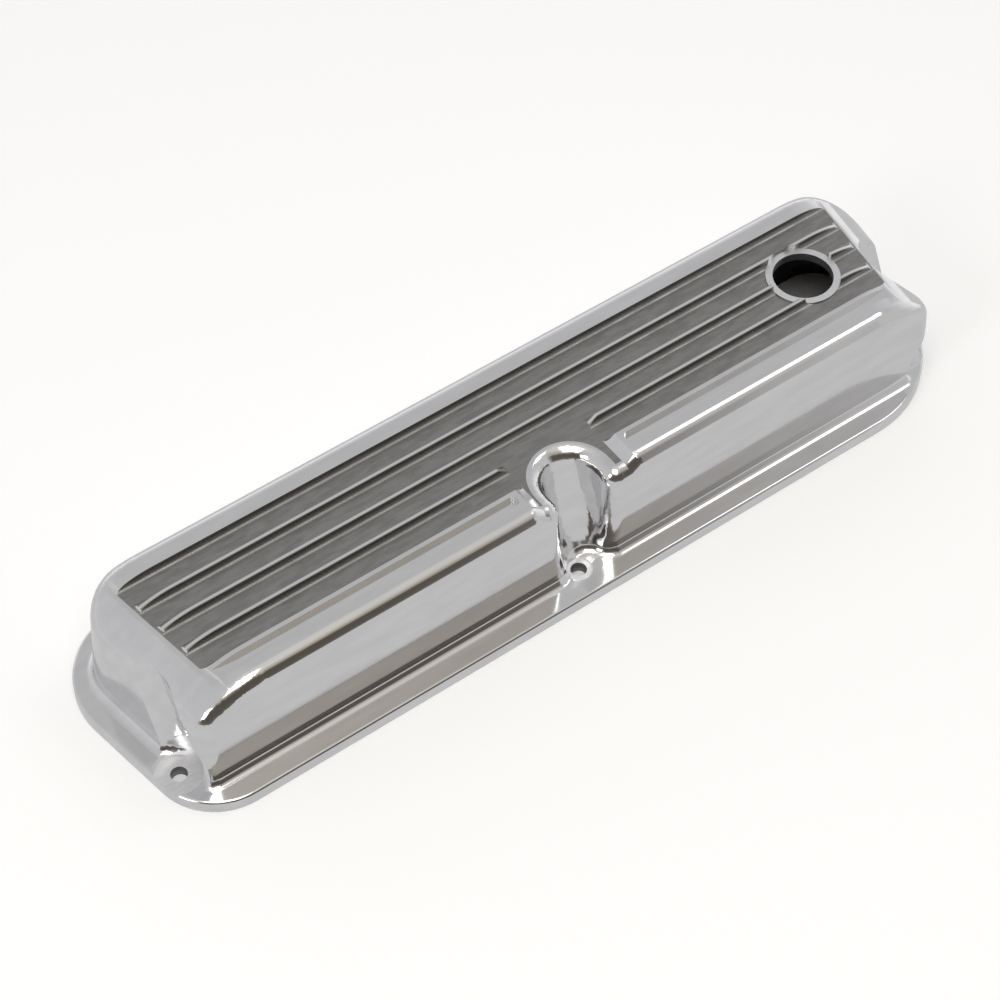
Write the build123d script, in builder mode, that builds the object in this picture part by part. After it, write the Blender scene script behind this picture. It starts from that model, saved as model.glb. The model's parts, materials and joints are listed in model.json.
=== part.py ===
from build123d import *
from math import cos, radians, sin, tan
import os

os.makedirs("parts", exist_ok=True)

# Engine valve cover, one aluminium casting with a polished outside
# X runs along the cover, -Y is the side with the middle bolt pocket, +Z is up
# The origin is the middle of the gasket face, on the underside of the flange

# Flange, in plan a long rectangle whose ends slant in towards the -Y side
flange_length = 482.0
flange_width = 128.0
flange_thickness = 7.0
flange_edge_round = 1.6
end_slant = 9.0
flange_far_corner = 44.0
flange_near_corner = 34.0
flange_right_corner = 66.0

# Hollow body that stands on the flange, with drafted walls
body_height = 65.0
wall_thickness = 4.0
side_land = 14.5
end_land = 13.0
side_draft = 1.4
end_draft = 4.5
body_far_corner = 24.0
body_near_corner = 9.0
top_edge_round = 8.0
foot_round = 5.0

# The crown drops away in a long curve at both ends
end_ramp_radius = 53.0
end_ramp_length = 41.0

# Finned crown: wide floors between thin fins, all along X, and a narrow polished groove
floor_count = 4
fin_pitch = 15.9
fin_thickness = 2.2
first_fin_from_edge = 29.0
floor_depth = 3.8
floor_corner_round = 2.6
groove_width = 6.0
groove_depth = 2.8
groove_gap = 64.0

# Land round the middle pocket, level with the floors
land_length = 48.0
land_side_slope = 35.0
land_back_from_edge = 59.0

# Bolts, whose pattern sits a little towards the -X end
bolt_hole_diameter = 8.2
bolt_shift = -5.75
seat_depth = 0.5

# Middle bolt pocket, a leaning half-round notch in the near wall
notch_from_bolt = 4.5
notch_bolt_from_edge = 16.0
notch_seat_diameter = 14.0
notch_low_radius = 12.0
notch_high_radius = 14.0
notch_low_from_edge = 12.5
notch_high_from_edge = 34.0
notch_corner_round = 8.0

# End bolt pockets, leaning round scallops in the end walls
end_bolt_from_end = 21.25
end_bolt_from_edge = 29.5
end_seat_diameter = 23.0
scallop_radius = 24.0
scallop_beyond_bolt = 10.8
scallop_beside_bolt = 6.6
scallop_lean_out = 5.0
scallop_lean_across = 32.0

# Far side bolts, on the flange beside the plain wall
far_bolt_reach = 115.0
far_bolt_from_edge = 7.0
far_seat_diameter = 15.0
far_pocket_height = 14.0

# Breather hole with a machined ring round it
breather_diameter = 31.0
breather_ring_width = 3.6
breather_ring_rise = 0.7
breather_from_end = 69.0
breather_from_far_edge = 62.5

# Worked out from the sizes above
half_length = flange_length / 2
half_width = flange_width / 2
near_edge = -half_width
crown_floor = body_height - floor_depth
cavity_top = crown_floor - wall_thickness
above_crown = body_height + 6.0
end_slant_run = tan(radians(end_slant))
body_run = body_height - flange_thickness
land_back_y = near_edge + land_back_from_edge
first_fin_y = half_width - first_fin_from_edge
notch_bolt_y = near_edge + notch_bolt_from_edge
end_bolt_reach = half_length - end_bolt_from_end
notch_x = bolt_shift + notch_from_bolt
end_bolt_y = near_edge + end_bolt_from_edge
far_bolt_y = half_width - far_bolt_from_edge
last_fin_y = first_fin_y - floor_count * fin_pitch
breather_x = half_length - breather_from_end
breather_y = half_width - breather_from_far_edge
breather_ring_radius = breather_diameter / 2 + breather_ring_width
land_half = land_length / 2
land_rise = (above_crown - crown_floor) / tan(radians(land_side_slope))
roof_curve_radius = end_ramp_radius - floor_depth - wall_thickness


def plan_outline(end_reach, side_reach):
    """Plan outline of the flange with slanted ends; end_reach is its half length where Y is nought."""
    near_x = end_reach - side_reach * end_slant_run
    far_x = end_reach + side_reach * end_slant_run
    with BuildSketch(mode=Mode.PRIVATE) as outline:
        with BuildLine():
            Polyline(
                (-near_x, -side_reach), (near_x, -side_reach), (far_x, side_reach), (-far_x, side_reach), close=True
            )
        make_face()
        fillet(outline.vertices().group_by(Axis.Y)[-1], flange_far_corner)
        fillet(outline.vertices().group_by(Axis.Y)[0].sort_by(Axis.X)[0], flange_near_corner)
        fillet(outline.vertices().group_by(Axis.Y)[0].sort_by(Axis.X)[-1], flange_right_corner)
    return outline.sketch


def drafted_block(top, inset=0.0):
    """Solid from the gasket face up to a height, with the drafted walls of the body moved inwards by inset."""
    rim = flange_thickness
    lean_in = radians(side_draft)
    reach = half_width - side_land - inset
    walls = [Plane((0, way * reach, rim), z_dir=(0, way * cos(lean_in), sin(lean_in))) for way in (-1, 1)]
    lean_in = radians(end_draft)
    for way in (-1, 1):
        outwards = Vector(way * cos(radians(end_slant)), -sin(radians(end_slant)), 0)
        foot = outwards * ((half_length - end_land) * cos(radians(end_slant)) - inset) + Vector(0, 0, rim)
        walls.append(Plane(foot, z_dir=outwards * cos(lean_in) + Vector(0, 0, sin(lean_in))))
    with BuildPart(mode=Mode.PRIVATE) as block:
        with Locations((0, 0, top / 2)):
            Box(2 * flange_length, 2 * flange_width, top)
        for wall in walls:
            split(bisect_by=wall, keep=Keep.BOTTOM)
        upright = block.edges().filter_by(lambda edge: edge.bounding_box().size.Z > top / 2)
        near_upright = upright.filter_by(lambda edge: edge.center().Y < 0)
        far_upright = upright.filter_by(lambda edge: edge.center().Y > 0)
        fillet(near_upright, body_near_corner - inset / 2)
        fillet(far_upright, body_far_corner - inset)
    return block.part


def notch_section(height, grow=0.0):
    """U-shaped section of the middle pocket at a height, open towards -Y."""
    share = (height - flange_thickness) / body_run
    radius = notch_low_radius + (notch_high_radius - notch_low_radius) * share + grow
    low_x = notch_x - radius
    high_x = notch_x + radius
    middle_y = near_edge + notch_low_from_edge + (notch_high_from_edge - notch_low_from_edge) * share
    with BuildSketch(mode=Mode.PRIVATE) as section:
        with BuildLine():
            ThreePointArc((low_x, middle_y), (notch_x, middle_y + radius), (high_x, middle_y))
            Polyline((high_x, middle_y), (high_x, -flange_width), (low_x, -flange_width), (low_x, middle_y))
        make_face()
    return section.sketch


def scallop_section(height, side, grow=0.0):
    """Round section of an end pocket at a height; side is 1 for the +X end and -1 for the other."""
    share = (height - flange_thickness) / body_run
    middle_x = bolt_shift + side * (end_bolt_reach + scallop_beyond_bolt + scallop_lean_out * share)
    middle_y = end_bolt_y - scallop_beside_bolt + scallop_lean_across * share
    with BuildSketch(mode=Mode.PRIVATE) as section:
        with Locations((middle_x, middle_y)):
            Circle(scallop_radius + grow)
    return section.sketch


def stacked(section_at, low, high):
    """Straight-sided solid between one section taken at two heights."""
    faces = [section_at(height).face().moved(Location((0, 0, height))) for height in (low, high)]
    with BuildPart(mode=Mode.PRIVATE) as solid:
        loft(faces, ruled=True)
    return solid.part


def end_ramp(side, radius):
    """Solid outside the long curve at one end of the crown, with a stated radius of the curve."""
    outwards = Vector(side * cos(radians(end_slant)), -sin(radians(end_slant)), 0)
    ramp_plane = Plane(origin=(0, 0, 0), x_dir=outwards, z_dir=outwards.cross(Vector(0, 0, 1)))
    start = (half_length - end_land - end_ramp_length) * cos(radians(end_slant))
    middle_height = body_height - end_ramp_radius
    outside = start + 2 * end_ramp_radius
    with BuildPart(mode=Mode.PRIVATE) as solid:
        with BuildSketch(ramp_plane):
            with BuildLine():
                CenterArc((start, middle_height), radius, 0, 90)
                Polyline(
                    (start, middle_height + radius), (start, above_crown), (outside, above_crown),
                    (outside, middle_height), (start + radius, middle_height)
                )
            make_face()
        extrude(amount=flange_width, both=True)
    return solid.part


def is_level(edge, height):
    """Whether an edge lies all at one height."""
    box = edge.bounding_box()
    return abs(box.min.Z - height) < 0.01 and abs(box.max.Z - height) < 0.01


def tall_faces(edge, faces):
    """How many of the faces that meet at an edge are walls."""
    meeting = [face for face in faces if any(edge.is_same(own) for own in face.edges())]
    return sum(face.bounding_box().size.Z > body_height / 2 for face in meeting)


# Outside of the body: drafted walls, end curves, land, pockets, and the rounded top edge
with BuildPart() as body:
    add(drafted_block(body_height))
    for side in (-1, 1):
        add(end_ramp(side, end_ramp_radius), mode=Mode.SUBTRACT)
    with BuildSketch(Plane.XZ.offset(-land_back_y)):
        with BuildLine():
            Polyline(
                (-land_half, crown_floor), (land_half, crown_floor), (land_half + land_rise, above_crown),
                (-land_half - land_rise, above_crown), close=True
            )
        make_face()
    extrude(amount=flange_width, mode=Mode.SUBTRACT)
    add(stacked(notch_section, 0.0, above_crown), mode=Mode.SUBTRACT)
    notch_corners = body.edges().filter_by(
        lambda edge: abs(edge.center().X - notch_x) < notch_high_radius + notch_corner_round
        and edge.center().Y < near_edge + side_land + notch_corner_round / 2
        and edge.bounding_box().size.Z > body_height / 2
    )
    fillet(notch_corners, notch_corner_round)
    walls_and_crown = body.faces()
    top_edges = body.edges().filter_by(
        lambda edge: edge.bounding_box().min.Z > body_height / 2 and tall_faces(edge, walls_and_crown) == 1
    )
    fillet(top_edges, top_edge_round)
    for side in (-1, 1):
        add(stacked(lambda height: scallop_section(height, side), 0.0, above_crown), mode=Mode.SUBTRACT)

# The casting: body on its flange, then everything that is cut into them
with BuildPart() as cover:
    with BuildSketch():
        add(plan_outline(half_length, half_width))
    extrude(amount=flange_thickness)
    flange_rim = cover.edges().filter_by(lambda edge: is_level(edge, flange_thickness))
    fillet(flange_rim, flange_edge_round)
    add(body.part)
    flange_top = cover.faces().filter_by(Axis.Z).filter_by(lambda face: abs(face.center().Z - flange_thickness) < 0.01)
    foot_edges = flange_top.sort_by(SortBy.AREA)[-1].inner_wires().edges()
    fillet(foot_edges, foot_round)

    # Satin floors with round bottom corners, the fins left between them
    with BuildSketch(Plane.YZ) as floors:
        for number in range(floor_count):
            middle_y = first_fin_y - (number + 0.5) * fin_pitch
            half_floor = (fin_pitch - fin_thickness) / 2
            with BuildLine():
                Polyline(
                    (middle_y - half_floor, above_crown), (middle_y - half_floor, crown_floor),
                    (middle_y + half_floor, crown_floor), (middle_y + half_floor, above_crown), close=True
                )
            make_face()
        fillet(floors.vertices().group_by(Axis.Y)[0], floor_corner_round)
    extrude(amount=half_length, both=True, mode=Mode.SUBTRACT)

    # Narrow groove between the last fin and the near border, in two lengths with round ends
    with BuildSketch(Plane.XY.offset(body_height)):
        groove_y = last_fin_y - (fin_thickness + groove_width) / 2
        for side in (-1, 1):
            with Locations((side * (groove_gap + flange_length) / 4, groove_y)):
                SlotOverall((flange_length - groove_gap) / 2, groove_width)
    extrude(amount=-groove_depth, mode=Mode.SUBTRACT)

    # Breather boss with its machined ring, then the hole
    with BuildSketch(Plane.XY.offset(cavity_top)):
        with Locations((breather_x, breather_y)):
            Circle(breather_ring_radius)
    extrude(amount=crown_floor + breather_ring_rise - cavity_top)
    with BuildSketch(Plane.XY.offset(crown_floor + breather_ring_rise)):
        with Locations((breather_x, breather_y)):
            Circle(breather_ring_radius)
    extrude(amount=above_crown, mode=Mode.SUBTRACT)

    # Hollow inside, with the pockets standing into it at the same wall thickness
    with BuildPart(mode=Mode.PRIVATE) as hollow:
        add(drafted_block(cavity_top, wall_thickness))
        for side in (-1, 1):
            add(end_ramp(side, roof_curve_radius), mode=Mode.SUBTRACT)
            add(stacked(lambda height: scallop_section(height, side, wall_thickness), 0.0, above_crown),
                mode=Mode.SUBTRACT)
        add(stacked(lambda height: notch_section(height, wall_thickness), 0.0, above_crown), mode=Mode.SUBTRACT)
    add(hollow.part, mode=Mode.SUBTRACT)

    # Breather hole and bolt holes with their seats
    with Locations((breather_x, breather_y, above_crown)):
        Hole(breather_diameter / 2, depth=above_crown - flange_thickness)
    end_bolts = [(bolt_shift + side * end_bolt_reach, end_bolt_y) for side in (-1, 1)]
    far_bolts = [(bolt_shift + side * far_bolt_reach, far_bolt_y) for side in (-1, 1)]
    with BuildSketch(Plane.XY.offset(flange_thickness - seat_depth)):
        with Locations(end_bolts):
            Circle(end_seat_diameter / 2)
        with Locations((bolt_shift, notch_bolt_y)):
            Circle(notch_seat_diameter / 2)
        with Locations(far_bolts):
            Circle(far_seat_diameter / 2)
    extrude(amount=far_pocket_height, mode=Mode.SUBTRACT)
    with Locations([(x, y, flange_thickness) for x, y in end_bolts + far_bolts + [(bolt_shift, notch_bolt_y)]]):
        Hole(bolt_hole_diameter / 2, depth=2 * flange_thickness)

cover.part.label = "cover_casting"
export_step(cover.part, "parts/cover_casting.step")
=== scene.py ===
import json
from math import radians

import bmesh
import bpy
from mathutils import Matrix, Vector


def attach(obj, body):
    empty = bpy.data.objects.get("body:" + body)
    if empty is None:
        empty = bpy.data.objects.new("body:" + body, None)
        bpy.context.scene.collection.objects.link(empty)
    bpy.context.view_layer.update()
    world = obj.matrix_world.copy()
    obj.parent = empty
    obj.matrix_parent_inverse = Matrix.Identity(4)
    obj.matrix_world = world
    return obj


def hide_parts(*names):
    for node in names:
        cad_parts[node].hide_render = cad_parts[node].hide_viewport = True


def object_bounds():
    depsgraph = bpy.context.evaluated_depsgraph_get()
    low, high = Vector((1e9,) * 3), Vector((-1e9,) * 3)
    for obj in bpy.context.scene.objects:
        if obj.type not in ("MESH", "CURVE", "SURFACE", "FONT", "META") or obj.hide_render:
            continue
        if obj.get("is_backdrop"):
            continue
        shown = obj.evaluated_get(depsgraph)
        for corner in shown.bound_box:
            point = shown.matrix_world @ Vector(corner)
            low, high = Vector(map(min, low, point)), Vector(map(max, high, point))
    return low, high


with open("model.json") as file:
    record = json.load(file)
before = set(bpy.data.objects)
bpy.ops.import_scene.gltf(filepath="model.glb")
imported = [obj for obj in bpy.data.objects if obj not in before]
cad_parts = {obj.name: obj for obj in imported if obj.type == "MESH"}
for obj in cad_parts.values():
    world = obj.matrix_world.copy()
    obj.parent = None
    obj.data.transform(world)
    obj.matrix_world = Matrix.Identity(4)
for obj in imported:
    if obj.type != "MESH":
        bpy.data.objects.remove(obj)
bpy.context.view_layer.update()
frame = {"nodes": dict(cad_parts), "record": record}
scene = bpy.context.scene
scene.view_settings.view_transform = "Standard"

# Camera, at the photograph's viewing angle
# Its axes and place come from lines along the fins and flange and the breather hole's ellipse
view_right = Vector((0.80964, -0.58693, 0.00148))
view_up = Vector((0.45816, 0.63358, 0.62344))
view_back = view_right.cross(view_up)
view_from = Vector((-0.48592, -0.64242, 1.01769))
camera_data = bpy.data.cameras.new("camera")
camera_data.sensor_width = 36.0
camera_data.lens = 93.446
camera = bpy.data.objects.new("camera", camera_data)
view_turn = Matrix((view_right, view_up, view_back)).transposed()
camera.matrix_world = Matrix.Translation(view_from) @ view_turn.to_4x4()
scene.collection.objects.link(camera)
scene.camera = camera

# Floor that the cover lies on
# Matt pale paint, nearly white for the camera. Where the polished metal reflects it, it turns a darker
# grey: painted shade that stands for the floor shaded beside the cover
bpy.ops.mesh.primitive_plane_add(size=30.0)
floor = bpy.context.object
floor.name = "floor"
floor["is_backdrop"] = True
floor_paint = bpy.data.materials.new("floor_paint")
floor_paint.use_nodes = True
floor.data.materials.append(floor_paint)
paint = floor_paint.node_tree


def linear(hex_colour):
    """The linear colour of an sRGB hex string, with an alpha of 1."""
    parts = [int(hex_colour[i:i + 2], 16) / 255 for i in (1, 3, 5)]
    return tuple(c / 12.92 if c <= 0.04045 else ((c + 0.055) / 1.055) ** 2.4 for c in parts) + (1.0,)


def add_node(tree, kind, settings=None, inputs=None, stops=()):
    """A node with its settings and links. An input is a value, a hex colour or the output socket that is
    linked to it. A colour ramp takes stops too, each a position and a hex colour."""
    made = tree.nodes.new(kind)
    for name, value in (settings or {}).items():
        setattr(made, name, value)
    for name, value in (inputs or {}).items():
        if isinstance(value, bpy.types.NodeSocket):
            tree.links.new(value, made.inputs[name])
        else:
            made.inputs[name].default_value = linear(value) if isinstance(value, str) else value
    if stops:
        ramp = made.color_ramp
        ramp.interpolation = "EASE"
        while len(ramp.elements) < len(stops):
            ramp.elements.new(0.5)
        for element, (position, colour) in zip(ramp.elements, stops):
            element.position = position
            element.color = linear(colour)
    return made


# A Mix node of colours has these two inputs and this output
colour_a, colour_b, mixed = 6, 7, 2

seen_by = add_node(paint, "ShaderNodeLightPath").outputs
# Glossy rays see the floor in a darker grey, painted shade in the metal's reflections
floor_and_reflected_shade_colour = add_node(paint, "ShaderNodeMix", {"data_type": "RGBA"}, {
    "Factor": seen_by["Is Glossy Ray"], colour_a: "#F8F8F8", colour_b: "#8C8C8E"})
floor_shader = paint.nodes["Principled BSDF"]
paint.links.new(floor_and_reflected_shade_colour.outputs[mixed], floor_shader.inputs["Base Color"])
floor_shader.inputs["Roughness"].default_value = 0.9
floor_shader.inputs["Specular IOR Level"].default_value = 0.0

# A lift evens the floor out for the camera and in reflections, but not under the cover
# The covered part is a strip along X whose ends slant as the flange's do
covered_half_length = 0.222
covered_half_width = 0.0475
covered_middle_y = 0.0025
end_slant = 0.158
camera_lift = 0.16
reflected_lift = 0.4
floor_place = add_node(paint, "ShaderNodeTexCoord").outputs["Object"]
floor_at = add_node(paint, "ShaderNodeSeparateXYZ", inputs={0: floor_place}).outputs
sums = {
    "x": floor_at["X"], "y": floor_at["Y"],
    "camera": seen_by["Is Camera Ray"], "reflected": seen_by["Is Glossy Ray"],
}
for name, operation, first, second in (
    ("out_x", "ABSOLUTE", "x", 0.0),
    ("slant", "MULTIPLY", "y", end_slant),
    ("past_slant", "SUBTRACT", "out_x", "slant"),
    ("beside_x", "GREATER_THAN", "past_slant", covered_half_length),
    ("from_middle", "SUBTRACT", "y", covered_middle_y),
    ("out_y", "ABSOLUTE", "from_middle", 0.0),
    ("beside_y", "GREATER_THAN", "out_y", covered_half_width),
    ("beside", "MAXIMUM", "beside_x", "beside_y"),
    ("camera_lift", "MULTIPLY", "camera", camera_lift),
    ("reflected_lift", "MULTIPLY", "reflected", reflected_lift),
    ("whole_lift", "ADD", "camera_lift", "reflected_lift"),
    ("lift", "MULTIPLY", "whole_lift", "beside"),
):
    sums[name] = add_node(paint, "ShaderNodeMath", {"operation": operation}, {
        0: sums[first], 1: sums.get(second, second)}).outputs[0]
paint.links.new(sums["lift"], floor_shader.inputs["Emission Strength"])
floor_shader.inputs["Emission Color"].default_value = linear("#FFFFFF")

# Room round the cover
# Painted walls that the polished metal reflects: bright low down behind, light grey at the sides
# and overhead, and brown in front. For the camera the room is white
world = bpy.data.worlds.new("room")
scene.world = world
world.use_nodes = True
room = world.node_tree
direction = add_node(room, "ShaderNodeTexCoord").outputs["Generated"]
towards = add_node(room, "ShaderNodeSeparateXYZ", inputs={0: direction}).outputs
walls = {"front_right": "#CECDCC"}
for name, stops in (
    ("back", ((0.0, "#FFFFFF"), (0.25, "#EEEEEF"), (0.5, "#CFCFD1"),
              (0.7, "#C3C3C4"), (0.86, "#C1C1C1"), (1.0, "#DEDBD5"))),
    ("front", ((0.0, "#6A645E"), (0.35, "#5C554E"), (0.64, "#5A534B"),
               (0.8, "#B3ADA4"), (0.92, "#D8D2C6"), (1.0, "#DEDBD5"))),
    ("left", ((0.0, "#D4D4D5"), (0.8, "#CACACB"), (1.0, "#DEDBD5"))),
):
    made = add_node(room, "ShaderNodeValToRGB", inputs={"Fac": towards["Z"]}, stops=stops)
    walls[name] = made.outputs["Color"]

# Each row fades from one wall to the next between two values of the direction's X or Y
for name, first, second, axis, low, high in (
    ("behind", "back", "left", "X", -0.15, -0.5),
    ("ahead", "front", "front_right", "X", 0.34, 0.55),
    ("all_round", "ahead", "behind", "Y", -0.45, 0.05),
):
    share = add_node(room, "ShaderNodeMapRange", {"interpolation_type": "SMOOTHSTEP"}, {
        "Value": towards[axis], "From Min": low, "From Max": high})
    made = add_node(room, "ShaderNodeMix", {"data_type": "RGBA"}, {
        "Factor": share.outputs["Result"], colour_a: walls[first], colour_b: walls[second]})
    walls[name] = made.outputs[mixed]
room_seen_by = add_node(room, "ShaderNodeLightPath").outputs
room_colour = add_node(room, "ShaderNodeMix", {"data_type": "RGBA"}, {
    "Factor": room_seen_by["Is Camera Ray"], colour_a: walls["all_round"], colour_b: "#FFFFFF"})
room.links.new(room_colour.outputs[mixed], room.nodes["Background"].inputs["Color"])

# Lamps
# Three square soft lamps aimed at the cover: a large one above the camera and a weaker one at each side
for name, place, size, watts, colour in (
    ("overhead_lamp", (-0.47, -0.66, 2.2), 1.25, 15.5, "#FFFDFA"),
    ("left_lamp", (-2.0, -0.46, 1.3), 0.77, 7.0, "#FFFFFF"),
    ("right_lamp", (1.1, -0.1, 1.7), 0.62, 2.2, "#FFFFFF"),
):
    lamp_data = bpy.data.lights.new(name, "AREA")
    lamp_data.shape = "SQUARE"
    lamp_data.size = size
    lamp_data.energy = watts
    lamp_data.color = linear(colour)[:3]
    lamp = bpy.data.objects.new(name, lamp_data)
    lamp.location = place
    lamp.rotation_euler = (-Vector(place)).to_track_quat("-Z", "Y").to_euler()
    scene.collection.objects.link(lamp)

# Cover casting, the whole object
# Aluminium cast in one piece, then ground and buffed outside. The floors between the fins are left satin
# The bolt seats, breather hole and gasket face are machined. The inside stays as cast, and the bolt holes
# take the dark as-cast finish as painted shade in the holes
cover = frame["nodes"]["cover_casting"].copy()
cover.data = cover.data.copy()
cover.name = "valve_cover"
scene.collection.objects.link(cover)
cover.parent = None
cover.matrix_world = Matrix.Identity(4)
bpy.ops.object.select_all(action="DESELECT")
cover.select_set(True)
bpy.context.view_layer.objects.active = cover
if cover.data.has_custom_normals:
    bpy.ops.mesh.customdata_custom_splitnormals_clear()

mm = 0.001
crown_floor = 61.2 * mm
fin_pitch = 15.9 * mm
first_fin_y = 35 * mm
last_fin_y = first_fin_y - 4 * fin_pitch


def metal(name, colours, roughness, patch_size, grain_size, grain_depth, fin_polish=None):
    """Aluminium whose tone wanders between two colours, in patches drawn out along X, with low bumps.
    fin_polish is the colour and roughness that buffing leaves along the middle of each fin's top."""
    made = bpy.data.materials.new(name)
    made.use_nodes = True
    tree = made.node_tree
    place = add_node(tree, "ShaderNodeTexCoord").outputs["Object"]
    patch_drawn_out = (0.25, 1.0, 1.0)
    patch_low, patch_high = 0.3, 0.7
    roughness_spread = 0.15
    drawn = add_node(tree, "ShaderNodeMapping", inputs={"Vector": place, "Scale": patch_drawn_out})
    patches = add_node(tree, "ShaderNodeTexNoise", inputs={
        "Vector": drawn.outputs["Vector"], "Scale": 1 / patch_size, "Detail": 4.0}).outputs["Fac"]
    tone = add_node(tree, "ShaderNodeValToRGB", inputs={"Fac": patches}, stops=(
        (patch_low, colours[0]), (patch_high, colours[1]))).outputs["Color"]
    rough = add_node(tree, "ShaderNodeMapRange", inputs={
        "Value": patches, "From Min": patch_low, "From Max": patch_high,
        "To Min": roughness * (1 + roughness_spread), "To Max": roughness * (1 - roughness_spread),
    }).outputs["Result"]
    if fin_polish:
        # The polish is full up to the first measure and has faded out at the second
        full_width, faded_width = 0.4 * mm, 1.0 * mm
        full_height, faded_height = crown_floor + 0.8 * mm, crown_floor + 0.3 * mm
        at = add_node(tree, "ShaderNodeSeparateXYZ", inputs={0: place}).outputs
        from_first = add_node(tree, "ShaderNodeMath", {"operation": "SUBTRACT"}, {
            0: at["Y"], 1: first_fin_y}).outputs[0]
        from_middle = add_node(tree, "ShaderNodeMath", {"operation": "PINGPONG"}, {
            0: from_first, 1: fin_pitch / 2}).outputs[0]
        beside = add_node(tree, "ShaderNodeMapRange", {"interpolation_type": "SMOOTHSTEP"}, {
            "Value": from_middle, "From Min": full_width, "From Max": faded_width}).outputs["Result"]
        below = add_node(tree, "ShaderNodeMapRange", {"interpolation_type": "SMOOTHSTEP"}, {
            "Value": at["Z"], "From Min": full_height, "From Max": faded_height}).outputs["Result"]
        off_fin = add_node(tree, "ShaderNodeMath", {"operation": "MAXIMUM"}, {
            0: beside, 1: below}).outputs[0]
        tone = add_node(tree, "ShaderNodeMix", {"data_type": "RGBA"}, {
            "Factor": off_fin, colour_a: fin_polish[0], colour_b: tone}).outputs[mixed]
        rough = add_node(tree, "ShaderNodeMapRange", inputs={
            "Value": off_fin, "To Min": fin_polish[1], "To Max": rough}).outputs["Result"]
    grain = add_node(tree, "ShaderNodeTexNoise", inputs={
        "Vector": place, "Scale": 1 / grain_size, "Detail": 2.0})
    bump = add_node(tree, "ShaderNodeBump", inputs={
        "Height": grain.outputs["Fac"], "Distance": grain_depth, "Strength": 1.0})
    shader = tree.nodes["Principled BSDF"]
    shader.inputs["Metallic"].default_value = 1.0
    tree.links.new(tone, shader.inputs["Base Color"])
    tree.links.new(rough, shader.inputs["Roughness"])
    tree.links.new(bump.outputs["Normal"], shader.inputs["Normal"])
    return made


polished, satin, machined, cast_skin_and_shade = range(4)
finishes = (
    # Buffed nearly to a mirror: it shows the room, a little uneven from the buffing
    metal("polished_aluminium", ("#E3E3E4", "#EAEAEB"), roughness=0.11,
          patch_size=8 * mm, grain_size=18 * mm, grain_depth=0.008 * mm),
    # Left satin between the fins: a soft grey without mirror images; its grain is drawn coarser to show
    metal("satin_aluminium", ("#8B8A88", "#9D9C9A"), roughness=0.36,
          patch_size=2.5 * mm, grain_size=0.6 * mm, grain_depth=0.02 * mm, fin_polish=("#EAEAEB", 0.2)),
    # Cut by a tool: flat and light with a soft shine; the tool marks are drawn coarser to show
    metal("machined_aluminium", ("#DADADC", "#E6E6E8"), roughness=0.42,
          patch_size=1.5 * mm, grain_size=0.8 * mm, grain_depth=0.006 * mm),
    # As it came out of the mould: dull and darker, with a rough skin, and darker still as painted shade for
    # the hollow inside and the bolt holes; its grain is drawn coarser to show
    metal("cast_skin_and_shade_aluminium", ("#77777A", "#8E8E91"), roughness=0.6,
          patch_size=4 * mm, grain_size=1.5 * mm, grain_depth=0.1 * mm),
)
cover.data.materials.clear()
for finish in finishes:
    cover.data.materials.append(finish)

# Each face gets its finish by where it lies, with the bolts and the breather hole where the record has them
# The breather hole's wall lies above breather_above, and fin_side is from a fin's middle to its side
mounts = {mount["name"]: mount for mount in frame["record"]["mounts"]}
bolts = []
for name in ("end_bolts", "far_side_bolts"):
    bolt_x, bolt_y = mounts[name]["pos_m"][:2]
    reach = mounts[name]["dims"]["spacing_x_mm"] * mm / 2
    bolts += [(bolt_x - reach, bolt_y), (bolt_x + reach, bolt_y)]
bolts.append(mounts["middle_bolt"]["pos_m"][:2])
bolt_radius = mounts["middle_bolt"]["dims"]["r_mm"] * mm
breather_x, breather_y = mounts["breather_hole"]["pos_m"][:2]
breather_radius = mounts["breather_hole"]["dims"]["r_mm"] * mm
breather_above = 50 * mm
seat_height = 6.5 * mm
ring_height = 61.9 * mm
fin_side = 1.05 * mm
close = 0.2 * mm
breather_close = 0.3 * mm
facing, level, upright = 0.9, 0.9999, 0.1
surface = bmesh.new()
surface.from_mesh(cover.data)
bmesh.ops.remove_doubles(surface, verts=surface.verts, dist=0.001 * mm)
for face in surface.faces:
    x, y, z = face.calc_center_median()
    up = face.normal.z
    from_breather = abs(Vector((x - breather_x, y - breather_y)).length - breather_radius)
    if z < close / 2 and up < -facing:
        face.material_index = machined
    elif up > facing and min(abs(z - seat_height), abs(z - ring_height)) < close:
        face.material_index = machined
    elif from_breather < breather_close and z > breather_above and abs(up) < upright:
        face.material_index = machined
    # Bolt-hole walls take the dark as-cast finish as painted shade in the holes
    elif z < seat_height and any(Vector((x - a, y - b)).length < bolt_radius + close for a, b in bolts):
        face.material_index = cast_skin_and_shade
    elif abs(z - crown_floor) < close and up > level:
        face.material_index = satin
    elif z > crown_floor and last_fin_y + fin_side < y < first_fin_y - fin_side:
        face.material_index = satin
    else:
        face.material_index = polished

# The inside is all that joins the roof of the hollow without crossing a machined face; it takes the as-cast
# finish, whose dark colour is partly painted shade
downward = [face for face in surface.faces if face.normal.z < -facing]
roof = max(downward, key=lambda face: face.calc_center_median().z)
roof.material_index = cast_skin_and_shade
waiting = [roof]
while waiting:
    for edge in waiting.pop().edges:
        for face in edge.link_faces:
            if face.material_index == polished:
                face.material_index = cast_skin_and_shade
                waiting.append(face)
surface.to_mesh(cover.data)
surface.free()

# Smooth rounds beside flats that stay flat
bpy.ops.object.shade_smooth_by_angle(angle=radians(25))
weighted = cover.modifiers.new("weighted_normals", "WEIGHTED_NORMAL")
weighted.keep_sharp = True
weighted.weight = 100

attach(cover, "root")
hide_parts("cover_casting")

low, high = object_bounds()
